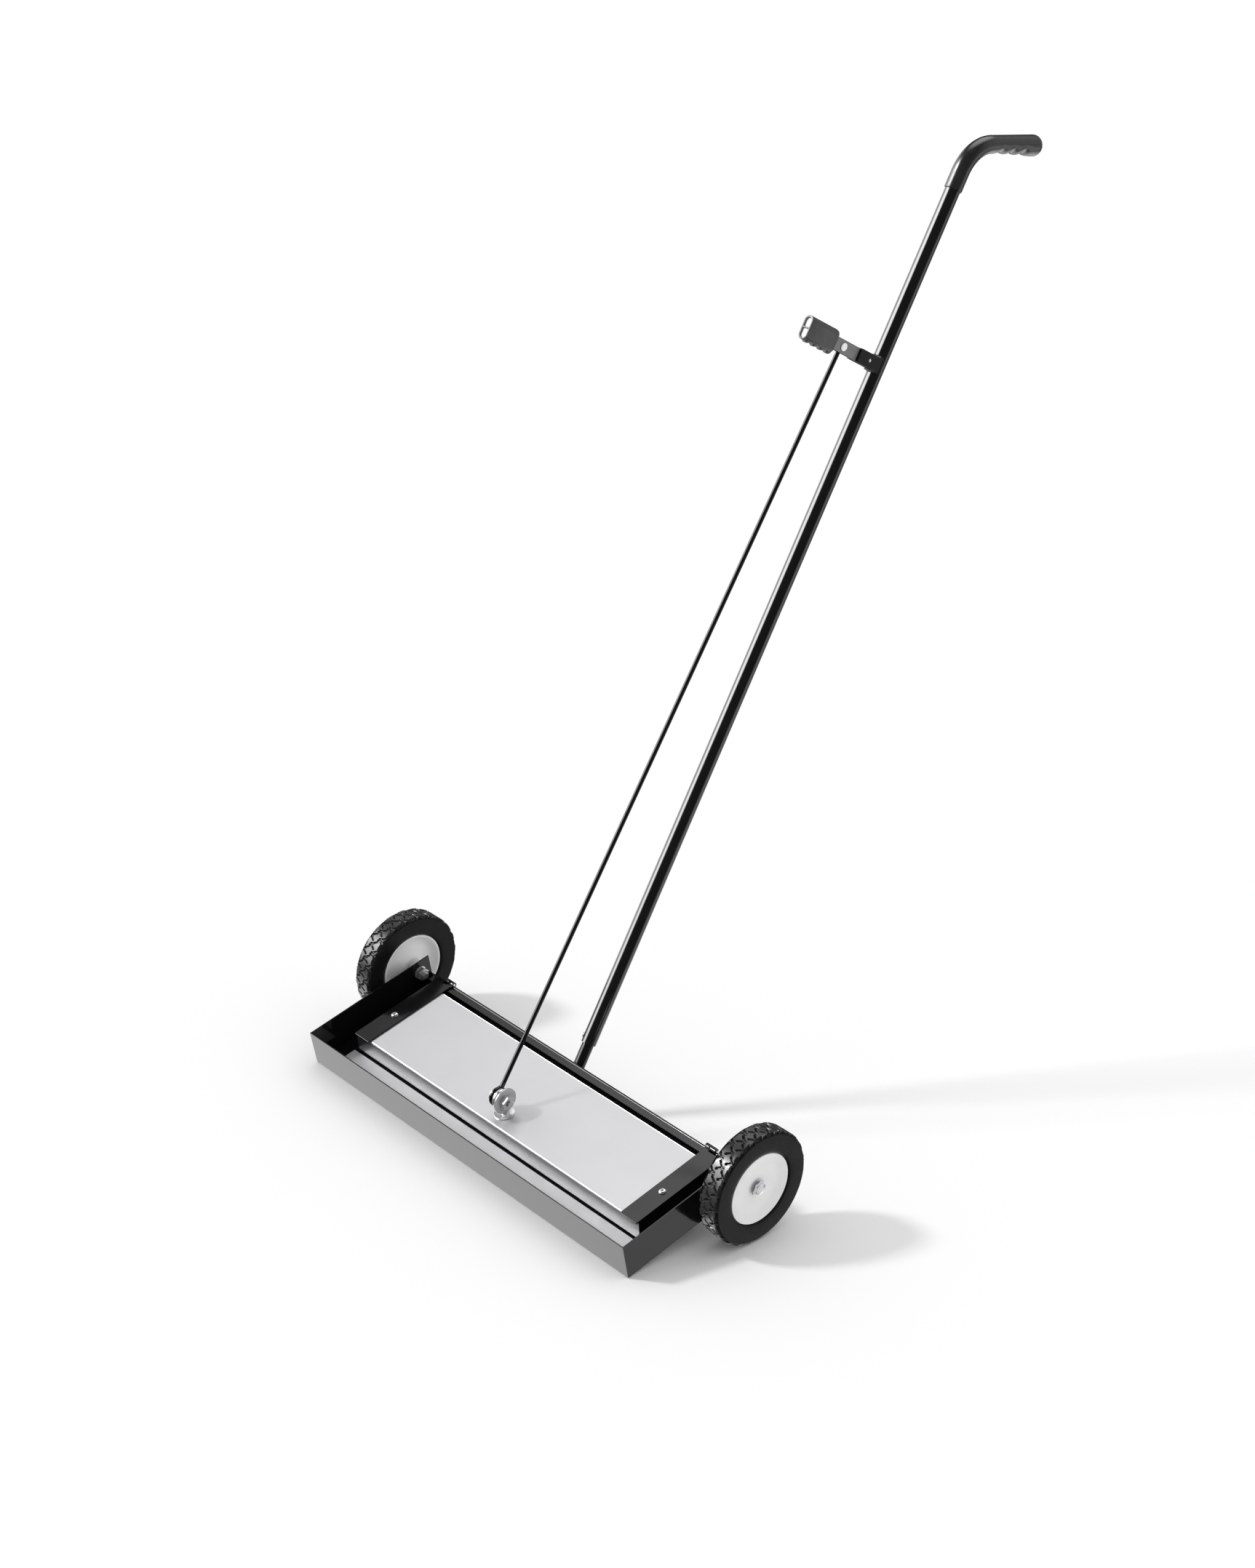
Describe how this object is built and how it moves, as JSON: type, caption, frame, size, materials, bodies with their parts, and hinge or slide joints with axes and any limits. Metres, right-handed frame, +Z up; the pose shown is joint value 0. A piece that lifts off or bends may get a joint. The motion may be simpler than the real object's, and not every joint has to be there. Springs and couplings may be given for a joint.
{
  "type": "magnetic nail sweeper",
  "caption": "Wheeled push-along magnetic sweeper for nails: a steel tray with a hinged magnet unit, a long bent handle, and a finger lever whose rod lifts the magnets to drop the nails.",
  "frame": {"origin": "centre of the machine's bounding box in X and Y, on the ground it stands on", "axes": "+X across the machine to its right as the user pushes it, +Y to the rear towards the user, +Z up from the ground"},
  "size_m": [0.6988, 0.9258, 1.1977],
  "materials": {
    "black_paint": "gloss",
    "grey_paint": "satin",
    "cover_metal": "satin",
    "polished_steel": "polished",
    "plain_steel": "satin",
    "spring_steel": "satin",
    "bushing_steel": "satin",
    "zinc": "gloss",
    "magnet": "matte",
    "black_grip": "satin",
    "tyre_rubber": "matte",
    "white_plastic": "satin"
  },
  "bodies": {
    "chassis": {"tray_pan": "black_paint", "floor_plate": "polished_steel", "hinge_knuckles": "black_paint", "hinge_pins": "zinc", "handle_stub": "black_paint", "handle_tube": "black_paint", "button_spring": "spring_steel", "handle_grip": "black_grip", "lever_bracket": "black_paint", "lever_pivot_pin": "zinc", "axle_bolts": "zinc", "axle_spacers": "zinc", "axle_washers": "zinc", "axle_nuts": "zinc"},
    "magnet_unit": {"magnet_cover": "cover_metal", "magnet_back_bar": "plain_steel", "bar_magnets": "magnet", "end_cap_left": "black_paint", "end_cap_right": "black_paint", "cap_screws": "zinc", "cap_nuts": "zinc", "eye_bolt": "zinc", "eye_base_washer": "zinc", "eye_nut": "zinc", "cross_bolt": "zinc", "cross_washers": "zinc", "cross_nut": "zinc"},
    "lever": {"lever_bar": "grey_paint", "lever_grip": "black_grip", "grip_core": "white_plastic", "rod_pin": "zinc", "rod_pin_cap": "white_plastic"},
    "rod": {"pull_rod": "black_paint"},
    "button": {"snap_button": "zinc"},
    "wheel_left": {"tyre_left": "tyre_rubber", "hub_left": "white_plastic", "bushing_left": "bushing_steel"},
    "wheel_right": {"tyre_right": "tyre_rubber", "hub_right": "white_plastic", "bushing_right": "bushing_steel"}
  },
  "joints": [
    {"name": "magnet_lift", "type": "hinge", "parent": "chassis", "child": "magnet_unit", "pos_m": [0, -0.26808, 0.08009], "axis": [-1, 0, 0], "range_deg": [0, 11.26]},
    {"name": "lever_pull", "type": "hinge", "parent": "chassis", "child": "lever", "pos_m": [0, 0.16775, 0.94249], "axis": [-1, 0, 0], "range_deg": [0, 24]},
    {"name": "rod_swing", "type": "hinge", "parent": "lever", "child": "rod", "pos_m": [0, 0.12145, 0.96702], "axis": [1, 0, 0], "range_deg": [0, 23.03]},
    {"name": "wheel_left_spin", "type": "hinge", "parent": "chassis", "child": "wheel_left", "pos_m": [-0.334, -0.27853, 0.0765], "axis": [1, 0, 0], "continuous": true},
    {"name": "wheel_right_spin", "type": "hinge", "parent": "chassis", "child": "wheel_right", "pos_m": [0.334, -0.27853, 0.0765], "axis": [1, 0, 0], "continuous": true},
    {"name": "button_press", "type": "slide", "parent": "chassis", "child": "button", "axis": [0.7071, 0.6248, -0.3311], "range_m": [0, 0.0042], "stiffness_N_per_m": 1500, "deforming": ["button_spring"]}
  ],
  "couplings": [
    {"joint": "lever_pull", "follows": "magnet_lift", "ratio": 2.1147},
    {"joint": "rod_swing", "follows": "magnet_lift", "ratio": 2.0437}
  ]
}
